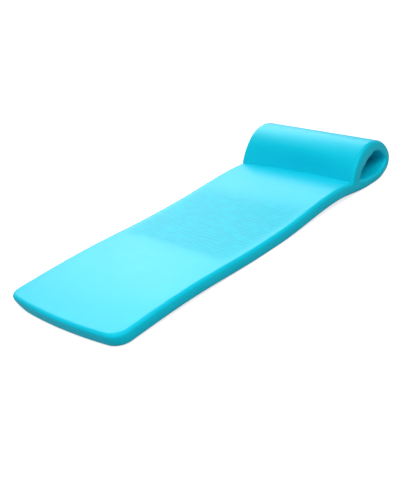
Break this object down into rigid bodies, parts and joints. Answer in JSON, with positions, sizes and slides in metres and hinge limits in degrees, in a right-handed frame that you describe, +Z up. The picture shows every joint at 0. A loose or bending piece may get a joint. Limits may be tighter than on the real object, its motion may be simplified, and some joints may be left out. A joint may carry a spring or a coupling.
{
  "type": "foam pool float",
  "caption": "Vinyl-coated foam mat to lie on in a pool, its head end rolled over into a hollow pillow that is open at both sides.",
  "frame": {"origin": "on the floor, under the middle of the float's bounding box", "axes": "+X along the mat from the foot to the pillow, +Y across the mat, +Z up"},
  "size_m": [1.8306, 0.66, 0.2096],
  "materials": {
    "foam": "matte closed-cell foam, white-grey",
    "glue": "cured contact glue, amber",
    "vinyl": "soft satin vinyl dip coat, turquoise, with fine creases"
  },
  "bodies": {
    "root": {"foam_core": "foam", "pillow_bond": "glue", "vinyl_coat": "vinyl"}
  },
  "joints": []
}
